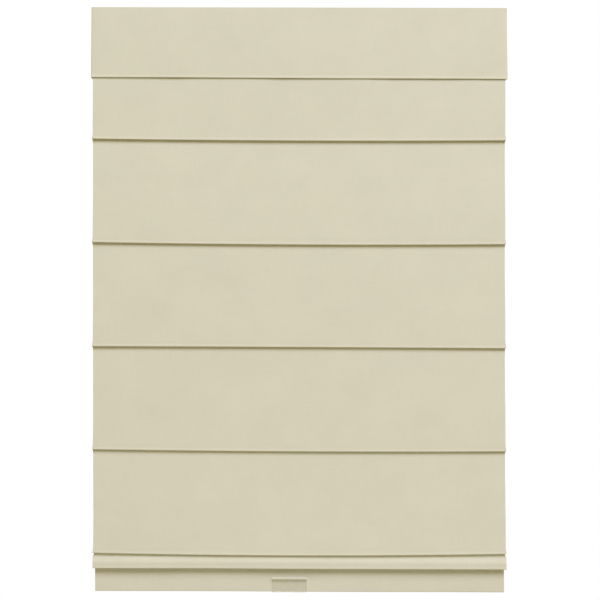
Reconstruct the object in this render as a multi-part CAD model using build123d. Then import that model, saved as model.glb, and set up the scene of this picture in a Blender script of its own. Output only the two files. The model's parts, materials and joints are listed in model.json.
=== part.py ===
from build123d import *
import os
from math import acos, cos, degrees, sin

# A cordless roman shade with a soft valance, fully lowered. Sizes are in millimetres.
# X runs across the window, +X to the right seen from the room. The wall is the plane y = 0, the
# room is at negative y, and +Z is up. The origin lies on the wall, midway between the two wall
# screw holes of the centre bracket.

# --- Driving sizes -------------------------------------------------------------------------------
valance_width = 1168.0
valance_drop = 197.0
valance_top_z = 22.0
width_deduction = 9.0           # the shade cloth is cut this much narrower than the valance
hem_deduction = 5.0             # the hem is turned in a little at both ends
cloth_thickness = 1.0
panel_height = 291.0            # from one crease to the next
first_crease_drop = 370.0       # from the valance's top edge to the first crease
crease_count = 5
skirt_drop = 45.0               # the loop that hangs below the last crease
skirt_setback = 2.5             # from the panels' face back to that loop's face
skirt_fall = 24.0               # from the last crease to where the loop's front hangs straight
skirt_r = 4.0                   # outer radius of its two lower bends
skirt_link_rise = 6.0           # from its lowest edge to where its back turns inward
hem_top_rise = 20.0             # from its lowest edge to the hem's hidden top fold
hem_drop = 113.0                # from the last crease to the hem's bottom edge

running_gap = 0.3               # between pieces of different moving groups
bearing_gap = 0.1               # radial play of a journal in its bearing
fit_gap = 0.3                   # around pieces that drop into another

# Headrail
wall_gap = 8.0                  # from the wall to the headrail's back, room for the screw heads
headrail_depth = 50.0
headrail_height = 40.0
headrail_top_z = 18.0
headrail_wall = 1.0
lip_width = 7.0
cap_wall = 2.0
cap_plug_depth = 12.0

# Brackets
bracket_width = 44.0
bracket_wall = 1.6
bracket_spread = 500.0          # from the centre bracket to each outer one
bracket_plate_drop = 14.0       # how far the wall plate reaches below its screw holes
bracket_hook_reach = 5.5
fixing_hole_r = 2.25
wall_hole_spacing = 30.0
top_hole_spacing = 24.0

# Fastening strips and stiffener
tape_thickness = 2.0
tape_height = 20.0
stiffener_thickness = 1.5
stiffener_height = 60.0
return_pad_thickness = 2.4
return_pad_length = 30.0
return_pad_height = 20.0
return_wall_gap = 3.0           # from the valance's ends to the wall
valance_corner_r = 3.0

# Ribs and the cord guides sewn on behind them
rib_r = 2.0
rib_end_inset = 4.0
pocket_height = 14.0            # from a crease to the seam above it
seam_gap = 0.3
guide_pad_width = 14.0
guide_pad_height = 10.0
guide_pad_thickness = 1.5
guide_stem_width = 4.0
guide_eye_r = 4.5
guide_eye_height = 4.0
guide_bore_r = 2.0

# Lift cords, shaft and spools
cord_r = 0.7
cord_spread = 430.0             # from the centre cord to each outer one
winding_r = 7.0                 # spool axis to the middle of the cord wound on it
shaft_setback = 12.0            # from the channel's inner front face to the shaft
shaft_rise = 18.0               # from the channel's underside to the shaft
shaft_flats = 6.0
shaft_overhang = 8.0            # past the collar at each end
flats_gap = 0.05
spool_length = 52.0
spool_flange_r = 9.6
spool_flange_width = 1.5
spool_end_r = 7.5
spool_taper = 0.8
cord_inset = 5.0                # from the spool's big flange to the cord on it
journal_r = 4.2
journal_length = 4.0
cradle_wall = 2.5
cradle_floor = 2.0
cradle_play = 0.6
cradle_rise = 13.0              # from the shaft to the top of the cradle's walls
snap_narrowing = 0.5            # the bearing's slot is this much narrower than its hole
exit_neck_r = 4.2
exit_flange_r = 6.5
exit_flange_height = 1.5
exit_bore_r = 1.6
cord_wrap = 300.0               # degrees of cord left on the spool when the shade is down

# Spring motor
motor_start_x = 110.0
motor_length = 90.0
motor_wall = 1.5
motor_rise = 16.0               # from the shaft to the motor's lid
drum_gap = 1.0                  # between the rims of the two drums
drum_flange_width = 1.5
drum_side_gap = 0.6
output_core_r = 5.5
output_flange_r = 9.5
output_journal_r = 4.6
storage_core_r = 7.0
storage_flange_r = 10.5
storage_journal_r = 3.0
band_edge_gap = 1.0
band_thickness = 0.3
output_roll = 3.2               # build-up of spring on each drum with the shade down
storage_roll = 1.0

# Brake and collars
brake_start_x = -130.0
brake_length = 30.0
brake_hub_r = 8.0
brake_hub_shoulder = 3.0
brake_wall = 2.0
brake_rise = 12.0               # from the shaft to the brake's top
collar_r = 6.0
collar_length = 6.0

# Bottom bar, its fittings and the pull tab
bar_thickness = 5.0
bar_height = 38.0
bar_edge_r = 1.5
bar_end_inset = 8.0
bar_cap_length = 5.0
bar_peg_r = 1.5
bar_peg_length = 12.0
bar_peg_spacing = 18.0
hem_wrap_gap = 0.3
hem_seam_rise = 22.0            # from the bar's top to the hem pocket's upper edge
hem_seam_start = 13.0
ferrule_r = 2.0
ferrule_height = 9.0
tab_middle_x = -24.0
tab_width = 98.0
tab_height = 43.0
tab_wall = 2.0
tab_ledge_height = 5.0
tab_ledge_reach = 6.0
tab_back_height = 26.0

# --- Places worked out from those sizes ----------------------------------------------------------
cloth_width = valance_width - width_deduction
hem_width = cloth_width - hem_deduction
headrail_back_y = -wall_gap
headrail_front_y = headrail_back_y - headrail_depth
headrail_floor_z = headrail_top_z - headrail_height
inner_front_y = headrail_front_y + headrail_wall
inner_back_y = headrail_back_y - headrail_wall
inner_floor_z = headrail_floor_z + headrail_wall
lip_under_z = headrail_top_z - headrail_wall
headrail_middle_y = (headrail_front_y + headrail_back_y) / 2
shaft_y = inner_front_y + shaft_setback
shaft_z = headrail_floor_z + shaft_rise
storage_y = shaft_y + output_flange_r + storage_flange_r + drum_gap
cradle_top_z = shaft_z + cradle_rise
motor_top_z = shaft_z + motor_rise
brake_top_z = shaft_z + brake_rise
return_inner_x = valance_width / 2 - cloth_thickness
cap_outer_x = return_inner_x - return_pad_thickness
headrail_half_length = cap_outer_x - cap_wall

cloth_back_y = headrail_front_y - tape_thickness
cloth_face_y = cloth_back_y - cloth_thickness
valance_tape_y = cloth_face_y - tape_thickness
stiffener_front_y = valance_tape_y - stiffener_thickness
valance_face_y = stiffener_front_y - cloth_thickness
valance_bottom_z = valance_top_z - valance_drop

crease_z = [valance_top_z - first_crease_drop - panel_height * i for i in range(crease_count)]
last_crease_z = crease_z[-1]
skirt_bottom_z = last_crease_z - skirt_drop
hem_bottom_z = last_crease_z - hem_drop

fold_r = rib_r + running_gap + cloth_thickness
rib_y = cloth_face_y + fold_r
pocket_face_y = cloth_face_y + 2 * fold_r
seam_r = seam_gap / 2
panel_face_y = pocket_face_y + 2 * seam_r
panel_back_y = panel_face_y + cloth_thickness
cord_y = shaft_y + winding_r
cord_x = {"left": -cord_spread, "centre": 0.0, "right": cord_spread}

bar_bottom_z = hem_bottom_z + cloth_thickness + hem_wrap_gap
bar_top_z = bar_bottom_z + bar_height
bar_half_length = hem_width / 2 - bar_end_inset
hem_face_y = cord_y - bar_thickness / 2 - hem_wrap_gap - cloth_thickness
hem_back_y = cord_y + bar_thickness / 2 + hem_wrap_gap + cloth_thickness


# --- Small helpers -------------------------------------------------------------------------------
ON_BASE = (Align.CENTER, Align.CENTER, Align.MIN)


def block(x, y, z):
    """A box between two limits on each axis."""
    size = [abs(b - a) for a, b in (x, y, z)]
    middle = [(a + b) / 2 for a, b in (x, y, z)]
    return Pos(*middle) * Box(*size)


def rod_x(radius, x, y, z):
    """A cylinder along X between the two values of x."""
    return Pos(x[0], y, z) * Rot(0, 90, 0) * Cylinder(radius, x[1] - x[0], align=ON_BASE)


def rod_z(radius, z, x, y):
    """A cylinder along Z between the two values of z."""
    return Pos(x, y, z[0]) * Cylinder(radius, z[1] - z[0], align=ON_BASE)


def along_x(profile, x):
    """A profile drawn with Y and Z as its two directions, carried along X between two values."""
    return extrude(Plane.YZ.offset(x[0]) * profile, x[1] - x[0])


def hex_bar(flats, x):
    """A hexagonal bar on the lift shaft's axis."""
    hexagon = RegularPolygon(flats / 2, 6, major_radius=False)
    return along_x(Pos(shaft_y, shaft_z) * hexagon, x)


def hex_bore(x):
    """The hole that a piece driven by the lift shaft has for it."""
    return hex_bar(shaft_flats + 2 * flats_gap, x)


def group(solids):
    """Several like pieces kept as one node."""
    return Compound([s.solid() for s in solids])


# --- Headrail, end caps and brackets -------------------------------------------------------------
def make_headrail():
    """A rolled channel, open at the top between two lips, with a hole in its floor for each cord."""
    ends = (-headrail_half_length, headrail_half_length)
    rail = block(ends, (headrail_front_y, headrail_back_y), (headrail_floor_z, headrail_top_z))
    rail -= block(ends, (inner_front_y, inner_back_y), (inner_floor_z, lip_under_z))
    mouth = (headrail_front_y + lip_width, headrail_back_y - lip_width)
    rail -= block(ends, mouth, (lip_under_z, headrail_top_z))
    for x in cord_x.values():
        rail -= rod_z(exit_neck_r + fit_gap, (headrail_floor_z, inner_floor_z), x, cord_y)
    return rail


def make_end_cap(side):
    """A moulded cap with a hollow plug that fits inside the channel's end."""
    cap_x = sorted((side * headrail_half_length, side * cap_outer_x))
    plug_x = sorted((side * headrail_half_length, side * (headrail_half_length - cap_plug_depth)))
    cap = block(cap_x, (headrail_front_y, headrail_back_y), (headrail_floor_z, headrail_top_z))
    cap = fillet(cap.edges().filter_by(Axis.X), headrail_wall)
    plug_y = (inner_front_y + fit_gap, inner_back_y - fit_gap)
    plug_z = (inner_floor_z + fit_gap, lip_under_z - fit_gap)
    plug = block(plug_x, plug_y, plug_z)
    hollow_y = (plug_y[0] + cap_wall, plug_y[1] - cap_wall)
    hollow_z = (plug_z[0] + cap_wall, plug_z[1] - cap_wall)
    return cap + plug - block(plug_x, hollow_y, hollow_z)


def make_bracket(x):
    """A bent plate: its back screws to the wall and its two hooks hold the channel's lips."""
    across = (x - bracket_width / 2, x + bracket_width / 2)
    plate_top_z = headrail_top_z + bracket_wall
    hook_z = (lip_under_z - bracket_wall, lip_under_z)
    lip_edge_front = headrail_front_y + lip_width + fit_gap
    lip_edge_back = headrail_back_y - lip_width - fit_gap
    bracket = block(across, (-bracket_wall, 0), (-bracket_plate_drop, plate_top_z))
    bracket += block(across, (headrail_front_y, 0), (headrail_top_z, plate_top_z))
    bracket += block(across, (lip_edge_front, lip_edge_front + bracket_wall), (hook_z[0], headrail_top_z))
    bracket += block(across, (lip_edge_front - bracket_hook_reach, lip_edge_front), hook_z)
    bracket += block(across, (lip_edge_back - bracket_wall, lip_edge_back), (hook_z[0], headrail_top_z))
    bracket += block(across, (lip_edge_back, lip_edge_back + bracket_hook_reach), hook_z)
    for side in (-1, 1):
        wall_hole = Pos(x + side * wall_hole_spacing / 2, 0, 0) * Rot(90, 0, 0)
        bracket -= wall_hole * Cylinder(fixing_hole_r, 4 * bracket_wall)
        top_x = x + side * top_hole_spacing / 2
        bracket -= rod_z(fixing_hole_r, (headrail_top_z, plate_top_z), top_x, headrail_middle_y)
    corner = bracket.edges().filter_by(Axis.X).sort_by(lambda e: e.center().Y + e.center().Z)[-1]
    return fillet(corner, bracket_wall)


# --- Lift mechanism ------------------------------------------------------------------------------
def make_lift_shaft():
    """A hexagonal shaft from just outside one collar to just outside the other."""
    start, end = collar_places()
    return hex_bar(shaft_flats, (start[0] - shaft_overhang, end[1] + shaft_overhang))


def spool_ends(x):
    """Where a spool starts and ends, set by the cord that leaves it at x."""
    start = x - cord_inset - spool_flange_width
    return start, start + spool_length


def collar_places():
    """Where the two collars lie, just outside the outer spools."""
    start = spool_ends(cord_x["left"])[0] - journal_length
    end = spool_ends(cord_x["right"])[1] + journal_length
    return (start - collar_length, start), (end, end + collar_length)


def make_spool(x):
    """A tapered cord spool with a big flange, a small flange and a journal at each end."""
    start, end = spool_ends(x)
    barrel_r = winding_r - cord_r - running_gap
    taper_length = spool_length - 2 * spool_flange_width
    barrel = Cone(barrel_r, barrel_r - spool_taper, taper_length, align=ON_BASE)
    spool = Pos(start + spool_flange_width, shaft_y, shaft_z) * Rot(0, 90, 0) * barrel
    spool += rod_x(spool_flange_r, (start, start + spool_flange_width), shaft_y, shaft_z)
    spool += rod_x(spool_end_r, (end - spool_flange_width, end), shaft_y, shaft_z)
    spool += rod_x(journal_r, (start - journal_length, start), shaft_y, shaft_z)
    spool += rod_x(journal_r, (end, end + journal_length), shaft_y, shaft_z)
    return spool - hex_bore((start - journal_length, end + journal_length))


def bearing_slot(journal, x, y, top_z):
    """A round bearing with a slot above it, a little narrower, that the journal snaps through."""
    radius = journal + bearing_gap
    half_slot = radius - snap_narrowing
    slot = block(x, (y - half_slot, y + half_slot), (shaft_z, top_z))
    return rod_x(radius, x, y, shaft_z) + slot


def make_cradle(x):
    """A moulded cradle on the channel's floor, with a bearing at each end of the spool."""
    start, end = spool_ends(x)
    inside = (start - cradle_play, end + cradle_play)
    outside = (inside[0] - cradle_wall, inside[1] + cradle_wall)
    depth = (inner_front_y + fit_gap, inner_back_y - fit_gap)
    wall_depth = (depth[0], shaft_y + spool_flange_r)
    cradle = block(outside, depth, (inner_floor_z, inner_floor_z + cradle_floor))
    for wall_x in ((outside[0], inside[0]), (inside[1], outside[1])):
        cradle += block(wall_x, wall_depth, (inner_floor_z, cradle_top_z))
        cradle -= bearing_slot(journal_r, wall_x, shaft_y, cradle_top_z)
    hole_z = (inner_floor_z, inner_floor_z + cradle_floor)
    return cradle - rod_z(exit_neck_r + fit_gap, hole_z, x, cord_y)


def make_cord_exit(x):
    """A smooth guide pushed up through the channel's floor where a cord leaves it."""
    flange_z = headrail_floor_z - exit_flange_height
    neck_top_z = inner_floor_z + cradle_floor
    guide = rod_z(exit_neck_r, (headrail_floor_z, neck_top_z), x, cord_y)
    guide += rod_z(exit_flange_r, (flange_z, headrail_floor_z), x, cord_y)
    return guide - rod_z(exit_bore_r, (flange_z, neck_top_z), x, cord_y)


def make_lift_cord(x):
    """A cord from its last turn on the spool, straight down to its ferrule on the bottom bar."""
    end = Vector(x, cord_y, bar_top_z + running_gap)
    leave = Vector(x, cord_y, shaft_z)
    run = Line(end, leave)
    turn = Plane(origin=(x, shaft_y, shaft_z), x_dir=(0, 1, 0), z_dir=(1, 0, 0))
    wrap = turn * CenterArc((0, 0), winding_r, 0, cord_wrap)
    route = Wire([run.edge(), wrap.edge()])
    section = Plane(origin=end, z_dir=(0, 0, 1)) * Circle(cord_r)
    return sweep(section, path=route)


def make_motor_tray():
    """An open tray on the channel's floor whose end walls carry both spring drums."""
    x = (motor_start_x, motor_start_x + motor_length)
    y = (inner_front_y + fit_gap, inner_back_y - fit_gap)
    z = (inner_floor_z, motor_top_z)
    hollow_x = (x[0] + motor_wall, x[1] - motor_wall)
    hollow_y = (y[0] + motor_wall, y[1] - motor_wall)
    tray = block(x, y, z) - block(hollow_x, hollow_y, (z[0] + motor_wall, z[1]))
    for wall_x in ((x[0], hollow_x[0]), (hollow_x[1], x[1])):
        tray -= bearing_slot(output_journal_r, wall_x, shaft_y, motor_top_z)
        tray -= bearing_slot(storage_journal_r, wall_x, storage_y, motor_top_z)
    return tray


def make_motor_cover():
    """A lid with a tongue that closes the slot above each bearing."""
    x = (motor_start_x, motor_start_x + motor_length)
    y = (inner_front_y + fit_gap, inner_back_y - fit_gap)
    cover = block(x, y, (motor_top_z, motor_top_z + motor_wall))
    for wall_x in ((x[0], x[0] + motor_wall), (x[1] - motor_wall, x[1])):
        for journal, drum_y in ((output_journal_r, shaft_y), (storage_journal_r, storage_y)):
            half_tongue = journal + bearing_gap - snap_narrowing - fit_gap
            tongue_z = (shaft_z + journal + bearing_gap + fit_gap, motor_top_z)
            cover += block(wall_x, (drum_y - half_tongue, drum_y + half_tongue), tongue_z)
    return cover


def make_drum(core_r, flange_r, drum_journal_r, y):
    """A flanged drum between the motor's end walls, on a journal at each end."""
    tray = (motor_start_x, motor_start_x + motor_length)
    drum_x = (tray[0] + motor_wall + drum_side_gap, tray[1] - motor_wall - drum_side_gap)
    drum = rod_x(core_r, drum_x, y, shaft_z)
    drum += rod_x(flange_r, (drum_x[0], drum_x[0] + drum_flange_width), y, shaft_z)
    drum += rod_x(flange_r, (drum_x[1] - drum_flange_width, drum_x[1]), y, shaft_z)
    return drum + rod_x(drum_journal_r, tray, y, shaft_z)


def make_output_drum():
    tray = (motor_start_x, motor_start_x + motor_length)
    return make_drum(output_core_r, output_flange_r, output_journal_r, shaft_y) - hex_bore(tray)


def make_storage_drum():
    return make_drum(storage_core_r, storage_flange_r, storage_journal_r, storage_y)


def make_spring_band():
    """A flat steel spring: a roll on each drum, and the strip that crosses between them."""
    edge = motor_wall + drum_side_gap + drum_flange_width + band_edge_gap
    x = (motor_start_x + edge, motor_start_x + motor_length - edge)
    output_in = output_core_r + running_gap
    storage_in = storage_core_r + running_gap
    output_out = output_in + output_roll
    storage_out = storage_in + storage_roll
    output_mid = output_out - band_thickness / 2
    storage_mid = storage_out - band_thickness / 2
    lean = acos((output_mid + storage_mid) / (storage_y - shaft_y))
    start = Vector(shaft_y + output_mid * cos(lean), shaft_z + output_mid * sin(lean))
    end = Vector(storage_y - storage_mid * cos(lean), shaft_z - storage_mid * sin(lean))
    middle = (start + end) / 2
    strip = Rectangle((end - start).length, band_thickness)
    profile = Pos(shaft_y, shaft_z) * (Circle(output_out) - Circle(output_in))
    profile += Pos(storage_y, shaft_z) * (Circle(storage_out) - Circle(storage_in))
    profile += Pos(middle.X, middle.Y) * Rot(0, 0, degrees(lean) - 90) * strip
    return along_x(profile, x)


def make_brake_housing():
    """A block on the channel's floor, bored for the friction hub."""
    x = (brake_start_x, brake_start_x + brake_length)
    depth = (inner_front_y + fit_gap, shaft_y + brake_hub_r + running_gap + brake_wall)
    housing = block(x, depth, (inner_floor_z, brake_top_z))
    return housing - rod_x(brake_hub_r + running_gap, x, shaft_y, shaft_z)


def make_brake_hub():
    """The friction hub that turns with the shaft, with a raised shoulder at one end."""
    x = (brake_start_x, brake_start_x + brake_length)
    shoulder = (x[0] - running_gap - brake_hub_shoulder, x[0] - running_gap)
    hub = rod_x(brake_hub_r, (shoulder[1], x[1]), shaft_y, shaft_z)
    hub += rod_x(brake_hub_r + brake_wall, shoulder, shaft_y, shaft_z)
    return hub - hex_bore((shoulder[0], x[1]))


def make_shaft_collars():
    """Two collars that keep the shaft from sliding along."""
    return group([rod_x(collar_r, x, shaft_y, shaft_z) - hex_bore(x) for x in collar_places()])


# --- Cloth and what holds it ---------------------------------------------------------------------
def make_cloth_tape():
    ends = (-headrail_half_length, headrail_half_length)
    return block(ends, (cloth_back_y, headrail_front_y), (headrail_top_z - tape_height, headrail_top_z))


def make_valance_tape():
    ends = (-cloth_width / 2, cloth_width / 2)
    return block(ends, (valance_tape_y, cloth_face_y), (headrail_top_z - tape_height, headrail_top_z))


def make_valance_stiffener():
    ends = (-cloth_width / 2, cloth_width / 2)
    z = (valance_top_z - stiffener_height, valance_top_z)
    return block(ends, (stiffener_front_y, valance_tape_y), z)


def make_valance_cloth():
    """One sheet across the front, turned back at both ends towards the wall."""
    outer_x = (-valance_width / 2, valance_width / 2)
    inner_x = (-return_inner_x, return_inner_x)
    z = (valance_bottom_z, valance_top_z)
    outer = block(outer_x, (valance_face_y, -return_wall_gap), z)
    outer = fillet(outer.edges().filter_by(Axis.Z).group_by(Axis.Y)[0], valance_corner_r)
    inner = block(inner_x, (stiffener_front_y, -return_wall_gap), z)
    inner = fillet(inner.edges().filter_by(Axis.Z).group_by(Axis.Y)[0], valance_corner_r - cloth_thickness)
    return outer - inner


def make_return_pads():
    """The fastening pads between the headrail's end caps and the valance's turned-back ends."""
    middle_z = (headrail_floor_z + headrail_top_z) / 2
    y = (headrail_middle_y - return_pad_length / 2, headrail_middle_y + return_pad_length / 2)
    z = (middle_z - return_pad_height / 2, middle_z + return_pad_height / 2)
    return group([block(sorted((side * cap_outer_x, side * return_inner_x)), y, z) for side in (-1, 1)])


def shade_cloth_path():
    """The line of the cloth's face side, seen from the end, from the headrail down to the hem."""
    seam_lift = pocket_height - seam_r - cloth_thickness
    runs = []
    start = (cloth_face_y, headrail_top_z)
    for crease in crease_z:
        above_pocket = (cloth_face_y, crease + pocket_height)
        run = Polyline(start, above_pocket, (cloth_face_y, crease + fold_r))
        fold = TangentArc(run @ 1, (pocket_face_y, crease + fold_r), tangent=(0, -1))
        rise = Line(fold @ 1, (pocket_face_y, crease + seam_lift))
        seam = TangentArc(rise @ 1, (panel_face_y, crease + seam_lift), tangent=(0, 1))
        hang = Line(seam @ 1, (panel_face_y, crease - fold_r))
        runs += [run, fold, rise, seam, hang]
        start = hang @ 1
    return runs[:-1] + [hem_path(seam @ 1)]


def hem_path(start):
    """The last stretch: the skirt loop in front, then the pocket wrapped round the bottom bar."""
    skirt_face_y = cloth_face_y + skirt_setback
    skirt_back_y = skirt_face_y + 2 * skirt_r + cloth_thickness
    fold_y = hem_face_y - 2 * cloth_thickness + seam_gap
    seam_y = hem_face_y + 2 * cloth_thickness + seam_gap
    seam_start_z = bar_top_z + hem_seam_start
    seam_slant = hem_back_y - seam_y
    corners = [
        ((panel_face_y, last_crease_z - 2 * fold_r), fold_r),
        ((skirt_face_y, last_crease_z - skirt_fall), 2 * skirt_r),
        ((skirt_face_y, skirt_bottom_z), skirt_r),
        ((skirt_back_y, skirt_bottom_z), skirt_r),
        ((skirt_back_y, skirt_bottom_z + skirt_link_rise), cloth_thickness),
        ((fold_y, skirt_bottom_z + hem_top_rise), seam_gap),
        ((hem_face_y, skirt_bottom_z + hem_top_rise), seam_gap),
        ((hem_face_y, hem_bottom_z), bar_edge_r + cloth_thickness),
        ((hem_back_y, hem_bottom_z), bar_edge_r + cloth_thickness),
        ((hem_back_y, seam_start_z), bar_edge_r),
        ((seam_y, seam_start_z + seam_slant), bar_edge_r),
    ]
    points = [start] + [c[0] for c in corners] + [(seam_y, bar_top_z + hem_seam_rise)]
    return FilletPolyline(*points, radius=[c[1] for c in corners])


def make_shade_cloth():
    """The folded sheet: a rib pocket at each crease, the skirt loop and the hem, all in one."""
    edges = [edge for run in shade_cloth_path() for edge in run.edges()]
    path = Wire(edges)
    outline = path.offset_2d(cloth_thickness, kind=Kind.INTERSECTION, side=Side.LEFT)
    print(f"shade cloth: {path.length:.0f} mm long before folding, {cloth_width:.0f} mm wide")
    cloth = along_x(Face(outline), (-cloth_width / 2, cloth_width / 2))
    for side in (-1, 1):
        trim_x = sorted((side * hem_width / 2, side * cloth_width / 2))
        hem_y = (hem_face_y - 2 * cloth_thickness, hem_back_y + cloth_thickness)
        cloth -= block(trim_x, hem_y, (hem_bottom_z, skirt_bottom_z + hem_top_rise + cloth_thickness))
    for x in cord_x.values():
        cloth -= rod_z(cord_r + running_gap, (bar_top_z, bar_top_z + hem_seam_rise), x, cord_y)
    return cloth


# --- Ribs and their cord guides ------------------------------------------------------------------
def make_rib(crease):
    half = cloth_width / 2 - rib_end_inset
    return rod_x(rib_r, (-half, half), rib_y, crease + fold_r)


def make_rib_guide(x, crease):
    """A pad sewn to the back of the cloth at the pocket's seam, with an eye for the cord."""
    pad_y = (panel_back_y + running_gap, panel_back_y + running_gap + guide_pad_thickness)
    pad_z = (crease + pocket_height - guide_pad_height, crease + pocket_height)
    eye_z = ((pad_z[0] + pad_z[1] - guide_eye_height) / 2, (pad_z[0] + pad_z[1] + guide_eye_height) / 2)
    guide = block((x - guide_pad_width / 2, x + guide_pad_width / 2), pad_y, pad_z)
    guide = fillet(guide.edges().filter_by(Axis.Y), guide_bore_r)
    guide += block((x - guide_stem_width / 2, x + guide_stem_width / 2), (pad_y[1], cord_y), eye_z)
    guide += rod_z(guide_eye_r, eye_z, x, cord_y)
    return guide - rod_z(guide_bore_r, eye_z, x, cord_y)


# --- Bottom bar and pull tab ---------------------------------------------------------------------
def bar_section(x):
    """The bar's rounded rectangular section, carried along X."""
    y = (cord_y - bar_thickness / 2, cord_y + bar_thickness / 2)
    bar = block(x, y, (bar_bottom_z, bar_top_z))
    return fillet(bar.edges().filter_by(Axis.X), bar_edge_r)


def cap_pegs(side, half_length, radius):
    """The two round pegs by which an end cap plugs into the bar's end."""
    x = sorted((side * half_length, side * (half_length - bar_peg_length)))
    middle_z = (bar_bottom_z + bar_top_z) / 2
    step = bar_peg_spacing / 2
    return [rod_x(radius, x, cord_y, z) for z in (middle_z - step, middle_z + step)]


def make_bottom_bar():
    """A flat bar with rounded long edges that weighs down the hem, drilled at both ends."""
    bar = bar_section((-bar_half_length, bar_half_length))
    for side in (-1, 1):
        for hole in cap_pegs(side, bar_half_length, bar_peg_r + flats_gap):
            bar -= hole
    return bar


def make_bar_cap(side):
    """A moulded end for the bar, held by two pegs."""
    x = sorted((side * bar_half_length, side * (bar_half_length + bar_cap_length)))
    cap = bar_section(x)
    for peg in cap_pegs(side, bar_half_length, bar_peg_r):
        cap += peg
    return cap


def make_cord_ferrules():
    """The crimped ends of the cords, standing on the bar inside the hem."""
    z = (bar_top_z, bar_top_z + ferrule_height)
    bore_r = cord_r + running_gap
    return group([rod_z(ferrule_r, z, x, cord_y) - rod_z(bore_r, z, x, cord_y) for x in cord_x.values()])


def make_pull_tab():
    """A clear moulded clip over the hem, with a finger ledge along its top edge."""
    x = (tab_middle_x - tab_width / 2, tab_middle_x + tab_width / 2)
    back_of_front = hem_face_y - running_gap
    front_y = back_of_front - tab_wall
    rear_y = hem_back_y + running_gap + tab_wall
    floor_z = hem_bottom_z - running_gap - tab_wall
    top_z = floor_z + tab_height
    tab = block(x, (front_y, rear_y), (floor_z, top_z))
    tab -= block(x, (back_of_front, rear_y - tab_wall), (floor_z + tab_wall, top_z))
    tab -= block(x, (back_of_front, rear_y), (floor_z + tab_back_height, top_z))
    tab = fillet(tab.edges().filter_by(Axis.X).group_by(Axis.Z)[0], tab_wall / 2)
    ledge_y = (front_y - tab_ledge_reach, back_of_front)
    ledge = block(x, ledge_y, (top_z - tab_ledge_height, top_z))
    ledge = fillet(ledge.edges().filter_by(Axis.X).group_by(Axis.Y)[0], tab_ledge_height / 3)
    return tab + ledge


# --- The nodes -----------------------------------------------------------------------------------
nodes = {
    "headrail": make_headrail(),
    "end_cap_left": make_end_cap(-1),
    "end_cap_right": make_end_cap(1),
    "bracket_left": make_bracket(-bracket_spread),
    "bracket_centre": make_bracket(0.0),
    "bracket_right": make_bracket(bracket_spread),
    "motor_tray": make_motor_tray(),
    "motor_cover": make_motor_cover(),
    "output_drum": make_output_drum(),
    "storage_drum": make_storage_drum(),
    "spring_band": make_spring_band(),
    "lift_shaft": make_lift_shaft(),
    "brake_housing": make_brake_housing(),
    "brake_hub": make_brake_hub(),
    "shaft_collars": make_shaft_collars(),
    "cloth_tape": make_cloth_tape(),
    "valance_tape": make_valance_tape(),
    "valance_stiffener": make_valance_stiffener(),
    "valance_cloth": make_valance_cloth(),
    "return_pads": make_return_pads(),
    "shade_cloth": make_shade_cloth(),
    "bottom_bar": make_bottom_bar(),
    "bar_cap_left": make_bar_cap(-1),
    "bar_cap_right": make_bar_cap(1),
    "cord_ferrules": make_cord_ferrules(),
    "pull_tab": make_pull_tab(),
}
for place, x in cord_x.items():
    nodes[f"spool_{place}"] = make_spool(x)
    nodes[f"cradle_{place}"] = make_cradle(x)
    nodes[f"cord_exit_{place}"] = make_cord_exit(x)
    nodes[f"lift_cord_{place}"] = make_lift_cord(x)
for number, crease in enumerate(crease_z, start=1):
    nodes[f"rib_{number}"] = make_rib(crease)
    for place, x in cord_x.items():
        nodes[f"rib_{number}_guide_{place}"] = make_rib_guide(x, crease)

os.makedirs("parts", exist_ok=True)
for name, shape in nodes.items():
    export_step(shape, f"parts/{name}.step")
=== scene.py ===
# %% [markdown]
# A cordless roman blind hangs fully lowered in front of its wall brackets. The metal, the moulded
# parts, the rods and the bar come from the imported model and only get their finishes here. The cloth
# and the cords are made here, because a flat solid can't show how cloth folds, sags and gathers.
# Everything is in metres: X across the window, the room at negative Y, Z up.

# %% Load the frame
import json
from math import exp, pi, radians, sin, tan

import bmesh
import bpy
from mathutils import Matrix, Quaternion, Vector


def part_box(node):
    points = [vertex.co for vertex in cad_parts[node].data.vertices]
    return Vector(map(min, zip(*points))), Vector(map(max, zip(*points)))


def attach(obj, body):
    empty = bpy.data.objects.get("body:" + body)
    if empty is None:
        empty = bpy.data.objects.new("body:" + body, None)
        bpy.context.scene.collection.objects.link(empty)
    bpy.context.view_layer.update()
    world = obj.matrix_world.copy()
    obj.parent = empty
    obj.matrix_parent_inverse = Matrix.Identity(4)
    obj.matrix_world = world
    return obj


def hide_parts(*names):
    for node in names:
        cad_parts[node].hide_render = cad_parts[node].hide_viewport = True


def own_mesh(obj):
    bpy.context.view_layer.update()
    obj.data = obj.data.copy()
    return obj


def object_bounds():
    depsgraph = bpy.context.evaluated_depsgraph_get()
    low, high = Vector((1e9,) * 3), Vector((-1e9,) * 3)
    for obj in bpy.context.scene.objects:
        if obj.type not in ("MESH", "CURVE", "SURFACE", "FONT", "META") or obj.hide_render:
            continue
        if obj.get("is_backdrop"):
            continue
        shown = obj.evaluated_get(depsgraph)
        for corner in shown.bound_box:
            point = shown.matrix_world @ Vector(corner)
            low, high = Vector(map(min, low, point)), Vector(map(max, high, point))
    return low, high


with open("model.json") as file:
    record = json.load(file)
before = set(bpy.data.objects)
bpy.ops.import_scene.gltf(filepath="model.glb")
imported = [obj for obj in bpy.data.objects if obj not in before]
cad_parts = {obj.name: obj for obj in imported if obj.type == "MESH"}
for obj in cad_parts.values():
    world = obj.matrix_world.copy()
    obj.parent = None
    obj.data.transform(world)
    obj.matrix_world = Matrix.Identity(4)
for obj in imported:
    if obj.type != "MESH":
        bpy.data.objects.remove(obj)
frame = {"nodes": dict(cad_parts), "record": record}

cad_low, cad_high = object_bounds()
MM = 0.001
PLACES = ("left", "centre", "right")
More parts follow.
